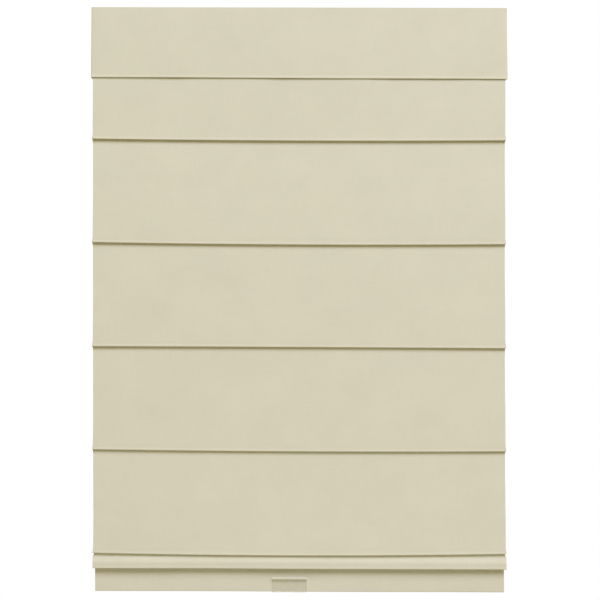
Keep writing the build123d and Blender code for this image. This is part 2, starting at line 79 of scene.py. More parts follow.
print("model box:", [round(v, 4) for v in cad_low], [round(v, 4) for v in cad_high])

# %% [markdown]
# All the cloth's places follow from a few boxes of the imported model: the rods give the folds, the
# bar gives the hem, and the valance's box gives the valance. Reading them keeps the cloth on its
# rods if the model is ever packed again with other sizes.

# %% Places taken from the model
cloth_t = 1.0 * MM
fold_r = 3.3 * MM
pocket_height = 14.0 * MM
seam_gap = 0.3 * MM

shade_low, shade_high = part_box("shade_cloth")
half_width = shade_high.x
rod_boxes = [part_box(f"rib_{number}") for number in range(1, 6)]
rod_r = (rod_boxes[0][1].z - rod_boxes[0][0].z) / 2
crease_z = [low.z + rod_r - fold_r for low, high in rod_boxes]
face_y = rod_boxes[0][0].y + rod_r - fold_r
pocket_y = face_y + 2 * fold_r
panel_y = pocket_y + seam_gap
print("creases at z:", [round(z, 4) for z in crease_z], "cloth face at y:", round(face_y, 4))

# %% [markdown]
# The camera stands 3.4 m in front of the cloth, level with the middle of the blind: far enough away
# that the folds stay parallel. It leans by an eighth of a degree, as a camera set up by eye does, so
# the long edges run down very slightly to the right.

# %% Camera
camera_distance = 3.4
view_width = 1.6885
camera_height = -0.800
camera_side = 0.004
camera_lean = radians(0.12)

camera_data = bpy.data.cameras.new("camera")
camera_data.sensor_width = 36.0
camera_data.lens = camera_data.sensor_width * camera_distance / view_width
camera = bpy.data.objects.new("camera", camera_data)
bpy.context.scene.collection.objects.link(camera)
camera.location = (camera_side, face_y - camera_distance, camera_height)
camera.rotation_mode = "QUATERNION"
ahead = Vector((0, 1, 0)).to_track_quat("-Z", "Y")
camera.rotation_quaternion = ahead @ Quaternion((0, 0, 1), camera_lean)
bpy.context.scene.camera = camera
print("lens:", round(camera_data.lens, 1), "mm")

# %% [markdown]
# The light is a plain soft studio: one very broad lamp high in front and a little to the right, which
# drops a short soft shadow under each fold, and a weaker, distant one behind for the brackets and the
# back of the cloth. Both are a little cool. The front lamp is nearer to the top of the blind, so the
# cloth is slightly darker lower down.

# %% Light
def lamp(name, kind, offset, energy, colour):
    """A light of that kind, at an offset from the middle of the blind and turned towards it."""
    data = bpy.data.lights.new(name, kind)
    data.energy = energy
    data.color = colour
    light = bpy.data.objects.new(name, data)
    light.location = Vector((0.0, face_y, camera_height)) + Vector(offset)
    light.rotation_mode = "QUATERNION"
    light.rotation_quaternion = Vector(offset).to_track_quat("Z", "Y")
    bpy.context.scene.collection.objects.link(light)
    return data


lamp_tint = (0.85, 0.87, 1.0)
key_place = (3.4, -8.9, 11.3)
key_light = lamp("key_light", "AREA", key_place, 2400.0, lamp_tint)
key_light.shape = "DISK"
key_light.size = 8.9
back_light = lamp("back_light", "SUN", (-0.5, 1.0, 0.8), 2.1, lamp_tint)
back_light.angle = radians(60)
print("the front lamp is", round(Vector(key_place).length, 1), "m away and", key_light.size, "m wide")

# %% [markdown]
# The room looks pure white to the camera, but it lights the cloth at less than that and much warmer,
# as light that has come off walls and cloth does, so the folds stay deep and creamy. The light path
# node tells the two apart.

# %% Room
room_light = 0.38
room_warmth = (1.0, 0.90, 0.45)
world = bpy.data.worlds.new("room")
world.use_nodes = True
bpy.context.scene.world = world
tree = world.node_tree
tree.nodes.clear()


def background(colour, strength):
    """A plain background of that colour and strength."""
    made = tree.nodes.new("ShaderNodeBackground")
    made.inputs["Color"].default_value = (*colour, 1.0)
    made.inputs["Strength"].default_value = strength
    return made


seen = background((1.0, 1.0, 1.0), 1.0)
lit = background(room_warmth, room_light)
ray = tree.nodes.new("ShaderNodeLightPath")
either = tree.nodes.new("ShaderNodeMixShader")
room = tree.nodes.new("ShaderNodeOutputWorld")
tree.links.new(ray.outputs["Is Camera Ray"], either.inputs["Fac"])
tree.links.new(lit.outputs["Background"], either.inputs[1])
tree.links.new(seen.outputs["Background"], either.inputs[2])
tree.links.new(either.outputs["Shader"], room.inputs["Surface"])
bpy.context.scene.view_settings.view_transform = "Standard"
print("the room lights the cloth at", room_light, "of what the camera sees")

# %% [markdown]
# A material is a small tree of nodes. The helpers below make a Principled shader and let a finish be
# written as a list of nodes with their settings. What is the same all over a surface, such as sheen,
# is set straight on the shader; only colour, roughness and bump vary from place to place.

# %% Material helpers
def new_material(name, colour, roughness, **settings):
    """A Principled material; settings are its other sockets, with _ for each space in their names."""
    material = bpy.data.materials.new(name)
    material.use_nodes = True
    shader = material.node_tree.nodes["Principled BSDF"]
    shader.inputs["Base Color"].default_value = (*colour, 1.0)
    shader.inputs["Roughness"].default_value = roughness
    for socket, value in settings.items():
        shader.inputs[socket.replace("_", " ")].default_value = value
    return material


def node(material, kind, inputs=None, **settings):
    """A node of that kind, whose inputs are values or other nodes' sockets."""
    tree = material.node_tree
    made = tree.nodes.new("ShaderNode" + kind)
    for name, value in settings.items():
        setattr(made, name, value)
    for name, value in (inputs or {}).items():
        if isinstance(value, bpy.types.NodeSocket):
            tree.links.new(value, made.inputs[name])
        else:
            made.inputs[name].default_value = value
    return made


def stretched(material, scale=(1, 1, 1), source="Object"):
    """Coordinates scaled differently each way, so that a pattern on them is drawn out."""
    coordinates = node(material, "TexCoord").outputs[source]
    return node(material, "Mapping", {"Vector": coordinates, "Scale": scale}).outputs["Vector"]


def noise(material, vector, scale, detail, roughness=0.5):
    """Soft random blotches, from 0 to 1."""
    return node(material, "TexNoise", {"Vector": vector, "Scale": scale, "Detail": detail,
                                       "Roughness": roughness}).outputs["Fac"]


def cells(material, scale):
    """A pattern of small cells, like the spangle of zinc or a field of hooks."""
    return node(material, "TexVoronoi", {"Vector": stretched(material), "Scale": scale})


def maths(material, operation, first, second=0.0):
    """The result of a sum on two values or sockets."""
    return node(material, "Math", {0: first, 1: second}, operation=operation).outputs[0]


def tint(material, dark, light, factor):
    """Colours the shader between dark and light by a factor."""
    mix = node(material, "Mix", data_type="RGBA")
    tree = material.node_tree
    tree.links.new(factor, mix.inputs["Factor"])
    mix.inputs["A"].default_value = (*dark, 1.0)
    mix.inputs["B"].default_value = (*light, 1.0)
    tree.links.new(mix.outputs["Result"], tree.nodes["Principled BSDF"].inputs["Base Color"])


def vary_roughness(material, factor, low, high):
    """Lets the roughness run from low to high with a factor."""
    span = node(material, "MapRange", {"Value": factor, "To Min": low, "To Max": high})
    tree = material.node_tree
    tree.links.new(span.outputs["Result"], tree.nodes["Principled BSDF"].inputs["Roughness"])


def emboss(material, height, depth, strength=1.0):
    """Raises and lowers the surface by a height from 0 to 1, depth metres deep."""
    bump = node(material, "Bump", {"Height": height, "Distance": depth, "Strength": strength})
    tree = material.node_tree
    tree.links.new(bump.outputs["Normal"], tree.nodes["Principled BSDF"].inputs["Normal"])


def darker(colour, share):
    """The colour at that share of its brightness."""
    return tuple(channel * share for channel in colour)

# %% [markdown]
# The cloth is a plain weave in undyed cream: threads 0.6 mm apart that pass over and under each
# other, some a little thicker and paler than their neighbours. A checker chooses which thread is on
# top, and two wave patterns round the threads off. The pattern reads the cloth's own map, which is
# laid out flat in metres, so the weave runs round each fold as the threads do.

# %% Cloth
thread_pitch = 0.6 * MM
cream = (0.735, 0.708, 0.600)


def woven_cloth(name, colour):
    """A plain weave with slubs, drawn on the cloth's own flat map."""
    material = new_material(name, colour, 0.9, Sheen_Weight=0.12, Sheen_Roughness=0.5,
                            Specular_IOR_Level=0.25)
    flat = node(material, "TexCoord").outputs["UV"]
    over = node(material, "TexChecker", {"Vector": flat, "Scale": 1 / thread_pitch})
    wave_scale = 2 * pi / (20 * thread_pitch)  # a wave texture at scale 1 has 20 bands in 2 pi metres
    ridges = [node(material, "TexWave", {"Vector": flat, "Scale": wave_scale},
                   bands_direction=direction).outputs["Fac"] for direction in ("X", "Y")]
    top = node(material, "Mix", {"Factor": over.outputs["Fac"], "A": ridges[0], "B": ridges[1]})
    across, down = (noise(material, stretched(material, scale, "UV"), 1.0, 2.0)
                    for scale in ((900, 18, 1), (18, 900, 1)))
    slub = maths(material, "ADD", across, down)
    broad = noise(material, flat, 7.0, 3.0, 0.6)
    tone = maths(material, "ADD", slub, broad)
    even = node(material, "MapRange", {"Value": tone, "From Min": 1.05, "From Max": 1.95})
    tint(material, darker(colour, 0.945), darker(colour, 1.03), even.outputs["Result"])
    height = maths(material, "ADD", top.outputs["Result"], maths(material, "MULTIPLY", slub, 0.6))
    emboss(material, height, 0.12 * MM, 0.55)
    return material


shade_weave = woven_cloth("cream_weave", cream)
print("threads per centimetre:", round(0.01 / thread_pitch, 1))

# %% [markdown]
# The cloth is cut from a strip that is folded and hung, so it is modelled the same way. A few corner
# points give the line of the cloth's face seen from the end; extruding that line across the window
# gives a strip with sharp folds, and bevelling the fold lines rounds each one to its true radius.
# Cuts across and along then give the strip enough points to sag.

# %% Folded strips
near = 0.001 * MM
quarter_turn_segments = 6


def extruded(bm, points, way):
    """Extrudes a line through the points along a vector, into a strip in bm."""
    line = [bm.verts.new(point) for point in points]
    edges = [bm.edges.new(pair) for pair in zip(line, line[1:])]
    grown = bmesh.ops.extrude_edge_only(bm, edges=edges)["geom"]
    far_side = [v for v in grown if isinstance(v, bmesh.types.BMVert)]
    bmesh.ops.translate(bm, verts=far_side, vec=way)


def folded_strip(corners):
    """A strip as wide as the shade, whose face follows corners (y, z, radius)."""
    bm = bmesh.new()
    extruded(bm, [(-half_width, y, z) for y, z, radius in corners], (2 * half_width, 0, 0))
    for before, corner, after in zip(corners, corners[1:], corners[2:]):
        round_fold(bm, before, corner, after)
    bmesh.ops.remove_doubles(bm, verts=bm.verts, dist=2 * near)
    bmesh.ops.recalc_face_normals(bm, faces=bm.faces)
    return bm


def round_fold(bm, before, corner, after):
    """Bevels the fold line at a corner to its radius."""
    here = Vector(corner[:2])
    turn = (here - Vector(before[:2])).angle(Vector(after[:2]) - here)
    fold = [e for e in bm.edges if all((v.co.yz - here).length < near for v in e.verts)]
    bmesh.ops.bevel(bm, geom=fold, offset=corner[2] * tan(turn / 2), offset_type="OFFSET",
                    segments=max(2, round(turn / (pi / 2) * quarter_turn_segments)), profile=0.5,
                    affect="EDGES", material=-1)


def cut(bm, axis, places):
    """Cuts the strip with planes across X, Y or Z at those places."""
    normal = [float(axis == letter) for letter in "XYZ"]
    for place in places:
        everything = bm.verts[:] + bm.edges[:] + bm.faces[:]
        point = [place * share for share in normal]
        bmesh.ops.bisect_plane(bm, geom=everything, dist=near, plane_co=point, plane_no=normal)


def spread(low, high, step):
    """Evenly spaced places between two limits, about a step apart, without the limits."""
    count = max(1, round((high - low) / step))
    return [low + (high - low) * i / count for i in range(1, count)]


print("segments in a quarter turn of a fold:", quarter_turn_segments)

# %% [markdown]
# A point's place on the flat cloth is written into the cloth's map before anything is bent: its X,
# and its distance along the strip, found by walking along the strip's edge from its start. The weave
# then runs unbroken from piece to piece.

# %% Flat places on the cloth
def place_key(co):
    """A point's place on the cloth's line, to a hundredth of a millimetre."""
    return round(co.y, 5), round(co.z, 5)


def measure(bm, start):
    """The distance along the cloth of each (y, z) on its edge, from the start point on."""
    def at_edge(vert):
        return abs(vert.co.x + half_width) < near

    here = min(filter(at_edge, bm.verts), key=lambda v: (v.co.yz - Vector(start)).length)
    lengths, walked, done = {place_key(here.co): 0.0}, 0.0, {here}
    while True:
        ahead = [e.other_vert(here) for e in here.link_edges]
        ahead = [v for v in ahead if at_edge(v) and v not in done]
        if not ahead:
            return lengths
        walked += (ahead[0].co - here.co).length
        here = ahead[0]
        done.add(here)
        lengths[place_key(here.co)] = walked


print("the shade is", round(2 * half_width, 3), "m wide")

# %% [markdown]
# The cloth's thickness is a Solidify modifier on its back. Where a hem is turned in, the cloth is
# double: a vertex group makes it twice as thick there, with a small step where the hem ends. An edge
# split keeps the cut edges crisp. Every piece, of cloth or of cord, then rides with a body of the model
# and takes its material.

# %% From mesh to piece
side_hem = 22.0 * MM
step_width = 0.8 * MM
hem_vertices = "hem"


def new_object(name, bm, material):
    """Puts a finished bmesh into the scene as an object with one material."""
    mesh = bpy.data.meshes.new(name)
    bm.to_mesh(mesh)
    bm.free()
    mesh.materials.append(material)
    made = bpy.data.objects.new(name, mesh)
    bpy.context.scene.collection.objects.link(made)
    return made


def new_piece(name, bm, material, body):
    """An object that rides with a body of the model."""
    piece = new_object(name, bm, material)
    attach(piece, body)
    return piece


def finish_cloth(name, bm, body, flat_place, past_hem, shape):
    """Turns a strip into a piece: maps it, bends it and gives it thickness.

    Each is a function of a point of the strip: its place on the flat cloth, how far it lies from the
    hemmed edges' step towards the middle, and where it hangs.
    """
    front = min(bm.faces, key=lambda f: f.calc_center_median().y)
    if front.normal.y > 0:
        bmesh.ops.reverse_faces(bm, faces=bm.faces)
    cloth_map = bm.loops.layers.uv.new("cloth_map")
    for face in bm.faces:
        face.smooth = True
        for loop in face.loops:
            loop[cloth_map].uv = flat_place(loop.vert.co)
    hem = bm.verts.layers.deform.verify()
    for vert in bm.verts:
        vert[hem][0] = min(1.0, max(0.0, 0.5 - past_hem(vert.co) / step_width))
        vert.co = shape(vert.co)
    piece = new_piece(name, bm, shade_weave, body)
    piece.vertex_groups.new(name=hem_vertices)
    thickness = piece.modifiers.new("thickness", "SOLIDIFY")
    thickness.thickness = 2 * cloth_t
    thickness.offset = -1.0
    thickness.vertex_group = hem_vertices
    thickness.thickness_vertex_group = 0.5
    piece.modifiers.new("crisp_edges", "EDGE_SPLIT").split_angle = radians(50)
    return piece


def finish_shade(name, bm, body, lengths, start, shape):
    """Finishes a strip of the shade cloth, hemmed at both sides, that begins start metres down it."""
    return finish_cloth(name, bm, body,
                        flat_place=lambda co: (co.x, -(lengths[place_key(co)] + start)),
                        past_hem=lambda co: half_width - side_hem - abs(co.x), shape=shape)


print("cloth", cloth_t, "m thick, twice that in the hems")

# %% [markdown]
# The shade hangs nearly flat, but not quite: each panel ripples by under a millimetre between its
# rods, and each fold sags a few millimetres below its rod, a little more on the right and, but for
# the third, most in the middle. The pocket swells round its rod, and at both ends of a fold the turned
# side hem stands out, so the fold looks slightly wider than the panels. These are small moves of the
# points, written as smooth functions.

# %% How the shade cloth hangs
# For each fold, in millimetres: how far its ends lie below the rod on average, how much more the
# right end does, and how far the fold bows down between them.
fold_hang = [(0.8, 1.2, 3.2), (1.6, 1.8, 3.9), (3.6, 1.8, -0.6), (2.7, 1.8, 3.0), (1.6, 0.4, 6.0)]
swell = 0.6 * MM
swell_rise = 2.0 * MM
swell_height = 2.8 * MM
swing = 4.6 * MM
nub_width = 2.4 * MM
nub_height = 6.5 * MM
nub_depth = 16.0 * MM
nub_rise = 2.5 * MM


def smooth(share):
    """A share from 0 to 1, eased in and out."""
    share = min(1.0, max(0.0, share))
    return share * share * (3 - 2 * share)


def ripple(x, z):
    """How far the cloth stands in front of its flat plane, in metres."""
    slow = 0.45 * sin(2 * pi * x / 0.83 + 1.1 + 2.3 * z) + 0.30 * sin(2 * pi * x / 0.37 + 4.0 - 5.1 * z)
    fine = 0.14 * sin(2 * pi * x / 0.151 + 2.2 + 9.0 * z) + 0.10 * sin(2 * pi * z / 0.094 + 3.0 * x)
    return (slow + fine) * MM


def hung(co, top_z, bottom_z):
    """A point of a panel between two seams, rippled most in the middle and not at all at the seams."""
    share = (top_z - co.z) / (top_z - bottom_z)
    between = sin(pi * min(1.0, max(0.0, share))) ** 2
    return Vector((co.x + side_shift(co), co.y - ripple(co.x, co.z) * between, co.z))


def swelled(height):
    """How far the cloth stands out just above a fold or a hemmed edge, where it is thickest."""
    return swell * exp(-((height - swell_rise) / swell_height) ** 2)


def askew(z):
    """How far the cloth hangs to the right at that height: not at its top, and most at its hem."""
    return swing * ((shade_high.z - z) / (shade_high.z - shade_low.z)) ** 2


def edge_side(x):
    """How near a point is to a side edge, from 0 to 1 on the right and to -1 on the left."""
    return (1 if x > 0 else -1) * smooth((abs(x) - half_width + nub_depth) / nub_depth)


def side_shift(co):
    """How far a point moves sideways: an edge stands out beside a fold, and the cloth hangs askew."""
    nub = sum(exp(-((co.z - z - nub_rise) / nub_height) ** 2) for z in crease_z)
    waver = (1.0 + 0.35 * sin(co.z * 21.0 + (0.6 if co.x > 0 else 2.9))) * MM
    return edge_side(co.x) * (nub_width * min(1.0, nub) + waver) + askew(co.z)


def tucked(co, crease, hang):
    """A point of a fold: its front swells over the rod, and the loop round the rod hangs below it."""
    across = co.x / half_width
    level, slant, bow = hang
    lower = (level + slant * across + bow * (1 - across ** 2)) * MM
    above_rod = co.z - crease - fold_r
    in_loop = co.y < pocket_y + seam_gap / 4
    free = 1 - smooth(above_rod / (pocket_height - 2 * fold_r)) if in_loop else 0.0
    at_front = max(0.0, (pocket_y - co.y) / (pocket_y - face_y))
    out = swelled(co.z - crease) * at_front
    return Vector((co.x + side_shift(co), co.y - out, co.z - lower * free))


print("the folds bow by", [bow for level, slant, bow in fold_hang], "mm")

# %% [markdown]
# The shade cloth is one long sheet, but it can't bend at every rod as one piece when the blind is
# raised. So it is made as pieces that meet edge to edge at the seams: a tuck round each rod, which
# rides with its rod, and each panel between two tucks as an upper and a lower half.

# %% Half panels and tucks
column_step = 22.0 * MM
row_step = 12.0 * MM
fold_row_step = 1.4 * MM
crease_r = 1.4 * MM
rod_fold_r = 0.999 * fold_r  # just short of meeting the next bevel, because bevels can't overlap
seam_r = 0.499 * seam_gap
step_place = half_width - side_hem
columns = spread(step_width - step_place, step_place - step_width, column_step)
columns += [side * (step_place + offset) for side in (-1, 1)
            for offset in (-step_width / 2, step_width / 2)]
columns += [side * (half_width - inset * MM) for side in (-1, 1) for inset in (4, 8, 12, 16)]


def fold_with_lift(piece):
    """Gives a half panel a mesh of its own, shared with no other piece."""
    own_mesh(piece)


def panel_half(name, body, start, top, bottom, seams):
    """Half a panel: a straight run of cloth from top (y, z) to bottom (y, z)."""
    bm = folded_strip([(*top, 0), (*bottom, 0)])
    cut(bm, "X", columns)
    cut(bm, "Z", spread(bottom[1], top[1], row_step))
    lengths = measure(bm, top)
    end = start + max(lengths.values())
    piece = finish_shade(name, bm, body, lengths, start, lambda co: hung(co, *seams))
    fold_with_lift(piece)
    return piece, end


def tuck(number, start):
    """The cloth round one rod: down the front, round below it, up behind it and down again."""
    z = crease_z[number - 1]
    seam_top = z + pocket_height - cloth_t
    corners = [
        (face_y, z + pocket_height, 0), (face_y, z, crease_r), (pocket_y, z, rod_fold_r),
        (pocket_y, seam_top, seam_r), (panel_y, seam_top, seam_r), (panel_y, z - fold_r, 0),
    ]
    bm = folded_strip(corners)
    cut(bm, "X", columns)
    cut(bm, "Z", spread(z + crease_r, seam_top, fold_row_step))
    lengths = measure(bm, corners[0][:2])
    hang = fold_hang[number - 1]
    level, slant, bow = hang
    own_length = max(lengths.values()) + 2 * (level + bow * 2 / 3) * MM
    piece = finish_shade(f"shade_tuck_{number}", bm, f"rib_{number}", lengths, start,
                         lambda co: tucked(co, z, hang))
    return piece, start + own_length


print("columns of points across the shade:", len(columns) + 2)

# %% [markdown]
# The top of the first panel stays on the headrail's fastening strip, so it is a piece of its own that
# doesn't move. Below it come five panels and five tucks, each beginning where the last one ends.

# %% Shade cloth down to the last tuck
strip_end_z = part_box("headrail")[0].z
bm = folded_strip([(face_y, shade_high.z, 0), (face_y, strip_end_z, 0)])
cut(bm, "X", columns)
cut(bm, "Z", spread(strip_end_z, shade_high.z, row_step))
lengths = measure(bm, (face_y, shade_high.z))
cloth_length = max(lengths.values())
shade_top = finish_shade("shade_top", bm, "headrail_assembly", lengths, 0.0, lambda co: co.copy())

shade_pieces = [shade_top]
for number in range(1, 6):
    first = number == 1
    above, hangs_from = ("headrail_assembly", "headrail") if first else [f"rib_{number - 1}"] * 2
    top = (face_y, strip_end_z) if first else (panel_y, crease_z[number - 2] - fold_r)
    bottom = (face_y, crease_z[number - 1] + pocket_height)
    middle = ((top[0] + bottom[0]) / 2, (top[1] + bottom[1]) / 2)
    seams = (top[1], bottom[1])
    upper, cloth_length = panel_half(
        f"shade_panel_{number}_upper", above, cloth_length, top, middle, seams)
    lower, cloth_length = panel_half(
        f"shade_panel_{number}_lower", f"rib_{number}", cloth_length, middle, bottom,
        seams)
    round_rod, cloth_length = tuck(number, cloth_length)
    shade_pieces += [upper, lower, round_rod]

# %% [markdown]
# Below the last rod the cloth hangs as a short skirt, turns back under it and drops behind to the
# hem, which wraps round the bottom bar. Its line is drawn here from the last rod down. The skirt
# stands well in front of the hem, and that is what throws the broad soft shadow on it.

# %% Line of the skirt and hem
last_crease_z = crease_z[-1]
bar_low, bar_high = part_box("bottom_bar")
skirt_r = 4.0 * MM
skirt_face_y = face_y + 2.5 * MM
skirt_back_y = skirt_face_y + 2 * skirt_r + cloth_t
skirt_foot_y = skirt_face_y + 0.7 * MM
skirt_leaves_z = last_crease_z - 8.0 * MM
skirt_plumb_z = last_crease_z - 27.0 * MM
skirt_bottom_z = last_crease_z - 45.0 * MM
link_z = skirt_bottom_z + 6.0 * MM
hem_top_z = skirt_bottom_z + 20.0 * MM

wrap_gap = 0.3 * MM
hem_r = 2.5 * MM
hem_turn_r = 1.5 * MM
hem_face_y = bar_low.y - wrap_gap - cloth_t
hem_back_y = bar_high.y + wrap_gap + cloth_t
hem_fold_y = hem_face_y - 2 * cloth_t + seam_gap
hem_end_y = hem_face_y + 2 * cloth_t + seam_gap
hem_closes_z = bar_high.z + 13.0 * MM
hem_meets_z = hem_closes_z + hem_back_y - hem_end_y
hem_end_z = hem_meets_z + 4.0 * MM
hem_corners = [
    (panel_y, last_crease_z - fold_r, 0),
    (panel_y, skirt_leaves_z, 3.0 * MM),
    (skirt_face_y, skirt_plumb_z, 22.0 * MM),
    (skirt_foot_y, skirt_bottom_z, crease_r),
    (skirt_back_y, skirt_bottom_z, skirt_r),
    (skirt_back_y, link_z, cloth_t),
    (hem_fold_y, hem_top_z, seam_gap),
    (hem_face_y, hem_top_z, seam_gap),
    (hem_face_y, shade_low.z, hem_r),
    (hem_back_y, shade_low.z, hem_r),
    (hem_back_y, hem_closes_z, hem_turn_r),
    (hem_end_y, hem_meets_z, hem_turn_r),
    (hem_end_y, hem_end_z, 0),
]
print("the skirt stands", round((hem_face_y - skirt_foot_y) / MM, 1), "mm in front of the hem")

# %% [markdown]
# The skirt flares at its ends and waves slightly, while the hem, held straight by the bar, is turned in
# a little at both ends. Both ride with the bar as one piece, because the last rod and the bar always
# rise together.

# %% Skirt and hem
hem_half = half_width - 0.8 * MM
flare = 3.8 * MM


def hem_shape(co, length):
    """A point of the skirt and hem, where the skirt is loose and the hem is narrower."""
    below_skirt = smooth((length - skirt_length) / (6 * MM))
    in_skirt = 1 - below_skirt
    narrow = 1 - below_skirt * (1 - hem_half / half_width)
    loose = smooth(length / (20 * MM))
    sag = (0.8 + 1.1 * co.x / half_width + 0.3 * sin(2 * pi * co.x / 0.71 + 0.7)) * MM * loose
    spread_out = edge_side(co.x) * flare * in_skirt * smooth(length / (10 * MM))
    wave = 0.35 * MM * sin(2 * pi * co.x / 0.43 + 2.0) * loose * in_skirt
    wave += swelled(co.z - skirt_bottom_z) * in_skirt
    return Vector((co.x * narrow + spread_out + askew(co.z), co.y - wave, co.z - sag))


bm = folded_strip(hem_corners)
cut(bm, "X", columns)
cut(bm, "Z", spread(skirt_bottom_z + skirt_r, last_crease_z - fold_r, 1.5 * MM))
lengths = measure(bm, hem_corners[0][:2])
skirt_turn = (skirt_back_y, skirt_bottom_z + skirt_r)
skirt_length = lengths[min(lengths, key=lambda p: abs(p[0] - skirt_turn[0]) + abs(p[1] - skirt_turn[1]))]
shade_hem = finish_shade("shade_skirt_and_hem", bm, "bottom_rail", lengths, cloth_length,
                         lambda co: hem_shape(co, lengths[place_key(co)]))
for piece in shade_pieces + [shade_hem]:
    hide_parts("shade_cloth")

# %% [markdown]
# Each rod pocket is closed by a row of machine stitches, seen from behind just below the pocket's top
# edge, and one more row holds the hem round the bar. A stitch is a short six-sided length of thread,
# repeated every four millimetres. A row rides with its rod or with the bar, and leaves out the
# stitches that would lie under the cord guides.

# %% Stitches
stitch_pitch = 4.0 * MM
stitch_length = 3.0 * MM
stitch_drop = 3.0 * MM
hem_stitch_drop = 2.8 * MM
thread_r = 0.28 * MM
guide_clearance = 9.0 * MM
thread = new_material("sewing_thread", (0.80, 0.76, 0.62), 0.6, Sheen_Weight=0.2)
twist = node(thread, "TexWave", {"Vector": stretched(thread), "Scale": 900.0},
             bands_direction="DIAGONAL")
tint(thread, (0.70, 0.66, 0.52), (0.83, 0.79, 0.66), twist.outputs["Fac"])
cord_places = [sum(v.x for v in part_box(f"lift_cord_{place}")) / 2 for place in PLACES]


def stitch_row(name, body, y, z, clear_of):
    """A row of stitches across the cloth at (y, z), with none within reach of the cord guides."""
    bm = bmesh.new()
    end = half_width - 2 * stitch_pitch
    places = [x for x in spread(-end, end, stitch_pitch)
              if all(abs(x - middle) > guide_clearance for middle in clear_of)]
    for x in places:
        made = bmesh.ops.create_cone(bm, cap_ends=True, segments=6, radius1=thread_r,
                                     radius2=thread_r, depth=stitch_length)["verts"]
        bmesh.ops.rotate(bm, verts=made, matrix=Matrix.Rotation(pi / 2, 3, "Y"))
        bmesh.ops.translate(bm, verts=made, vec=(x + askew(z), y, z))
    new_piece(name, bm, thread, body)
    return len(places)


stitches = 0
for number, z in enumerate(crease_z, 1):
    seam_top = z + pocket_height - cloth_t
    stitches += stitch_row(f"pocket_stitches_{number}", f"rib_{number}", panel_y + cloth_t,
                           seam_top - stitch_drop, cord_places)
stitches += stitch_row("hem_stitches", "bottom_rail", hem_end_y, hem_end_z - hem_stitch_drop, [])
print("stitches:", stitches)

# %% [markdown]
# The valance is a second sheet that hides the headrail: straight across the front and turned back at
# both ends. It is stiffened only at its top, so its lower edge hangs free, ripples a little, and
# spreads slightly at the corners. It is made as the shade's strips are, but its line is seen from
# above and extruded downwards, because the folds at its two corners are upright.

# %% Valance
valance_low, valance_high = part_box("valance_cloth")
valance_height = valance_high.z - valance_low.z
return_y = valance_high.y
valance_r = 3.0 * MM
valance_hem = 25.0 * MM
valance_lean = 1.4 * MM
corner_flares = {-1: 1.4 * MM, 1: 3.0 * MM}
corner_reach = 84.0 * MM


def valance_strip():
    """The valance's line seen from above, extruded downwards with its corners bevelled."""
    bm = bmesh.new()
    outline = [(valance_low.x, return_y), (valance_low.x, valance_low.y),
               (valance_high.x, valance_low.y), (valance_high.x, return_y)]
    extruded(bm, [(x, y, valance_high.z) for x, y in outline], (0, 0, -valance_height))
    upright = [e for e in bm.edges if e.is_manifold]
    bmesh.ops.bevel(bm, geom=upright, offset=valance_r, offset_type="OFFSET",
                    segments=quarter_turn_segments, profile=0.5, affect="EDGES", material=-1)
    bmesh.ops.recalc_face_normals(bm, faces=bm.faces)
    return bm


def valance_flat(co):
    """A point's place on the valance laid flat, with its returns folded out."""
    return co.x + (co.y - valance_low.y) * (1 if co.x > 0 else -1), co.z


def valance_shape(co):
    """A point of the valance: free at its lower edge, where it ripples and spreads."""
    free = ((valance_high.z - co.z) / valance_height) ** 1.6
    on_front = smooth((return_y - co.y) / (return_y - valance_low.y) * 3 - 2)
    wave = 0.35 * MM * sin(2 * pi * co.x / 0.92 + 0.4) + 0.15 * MM * sin(2 * pi * co.x / 0.31 + 2.0)
    side = 1 if co.x > 0 else -1
    at_corner = smooth((abs(co.x) - valance_high.x + corner_reach) / corner_reach)
    out = side * corner_flares[side] * at_corner
    sag = (1.0 + 1.6 * co.x / valance_high.x + 0.3 * sin(2 * pi * co.x / 0.77 + 1.0)) * MM
    lean = ((wave - valance_lean) * free + swelled(co.z - valance_low.z)) * on_front
    return Vector((co.x + out * free, co.y - lean, co.z - sag * free * on_front))


bm = valance_strip()
cut(bm, "X", spread(valance_low.x + valance_r, valance_high.x - valance_r, column_step))
cut(bm, "Y", spread(valance_low.y + valance_r, return_y, row_step))
cut(bm, "Z", spread(valance_low.z, valance_high.z, row_step)
    + spread(valance_low.z, valance_low.z + row_step, 1.5 * MM)
    + [valance_low.z + valance_hem + offset for offset in (-step_width / 2, step_width / 2)])
valance = finish_cloth("valance_drape", bm, "headrail_assembly", flat_place=valance_flat,
                       past_hem=lambda co: co.z - valance_low.z - valance_hem, shape=valance_shape)
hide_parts("valance_cloth")

# %% [markdown]
# Three braided cords carry the blind. Each is wound on its spool, leaves it straight down, passes
# through the eye of a guide behind every rod, and ends in a crimped ferrule on the bottom bar. The
# wound part stays in the headrail. The hanging part, which on the real blind shortens as it rises, is
# a straight length down to the bar that rides with the headrail too.

# %% Lift cords
cord_r = 0.7 * MM
winding_r = 7.0 * MM
shaft_low, shaft_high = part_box("lift_shaft")
shaft_z = (shaft_low.z + shaft_high.z) / 2
shaft_y = (shaft_low.y + shaft_high.y) / 2
cord_y = shaft_y + winding_r
cord_end_z = bar_high.z + 0.3 * MM
cord_drop = shaft_z - cord_end_z
wound_angle = radians(300)

braid = new_material("braided_cord", (0.80, 0.79, 0.73), 0.75, Sheen_Weight=0.2)
strands = node(braid, "TexWave", {
    "Vector": stretched(braid, (1, 1, 0.45)), "Scale": 220.0, "Distortion": 2.0,
}, bands_direction="DIAGONAL")
tint(braid, (0.62, 0.61, 0.55), (0.84, 0.83, 0.78), strands.outputs["Fac"])
emboss(braid, strands.outputs["Fac"], 0.15 * MM)


